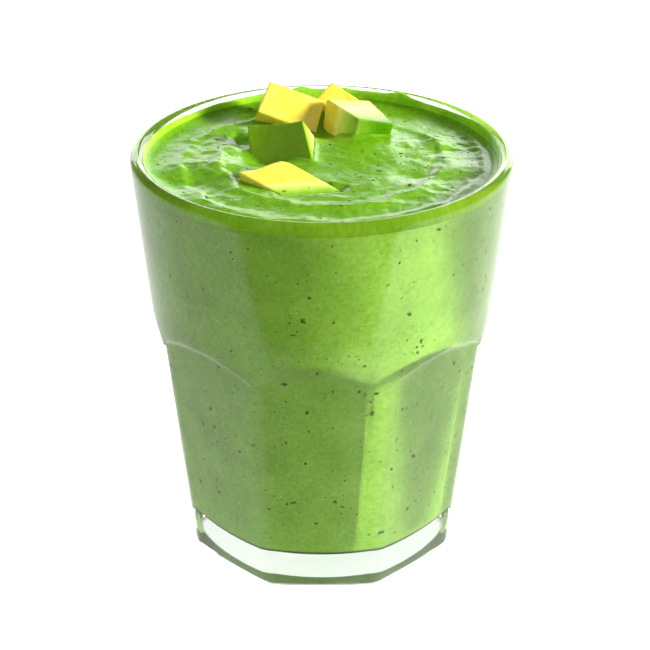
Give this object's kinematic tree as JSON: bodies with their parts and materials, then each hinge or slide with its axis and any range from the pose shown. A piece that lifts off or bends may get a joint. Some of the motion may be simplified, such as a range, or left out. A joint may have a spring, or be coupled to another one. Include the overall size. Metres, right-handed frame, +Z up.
{
  "type": "green smoothie",
  "caption": "Green smoothie filling a pressed glass tumbler with flat arched panels, topped with cut avocado.",
  "frame": {"origin": "middle of the tumbler's foot, on the surface it stands on", "axes": "+Z up along the tumbler's axis, front at -Y, one flat panel facing the front"},
  "size_m": [0.0878, 0.0878, 0.1062],
  "materials": {
    "clear_glass": "clear polished pressed glass",
    "green_smoothie": "wet glossy green puree with dark flecks and fine bubbles",
    "avocado_flesh": "moist avocado flesh, yellow inside and green towards the skin"
  },
  "bodies": {
    "root": {"tumbler": "clear_glass", "smoothie": "green_smoothie", "avocado_back": "avocado_flesh", "avocado_skin_side": "avocado_flesh", "avocado_right": "avocado_flesh", "avocado_tip": "avocado_flesh", "avocado_sunk": "avocado_flesh"}
  },
  "joints": []
}
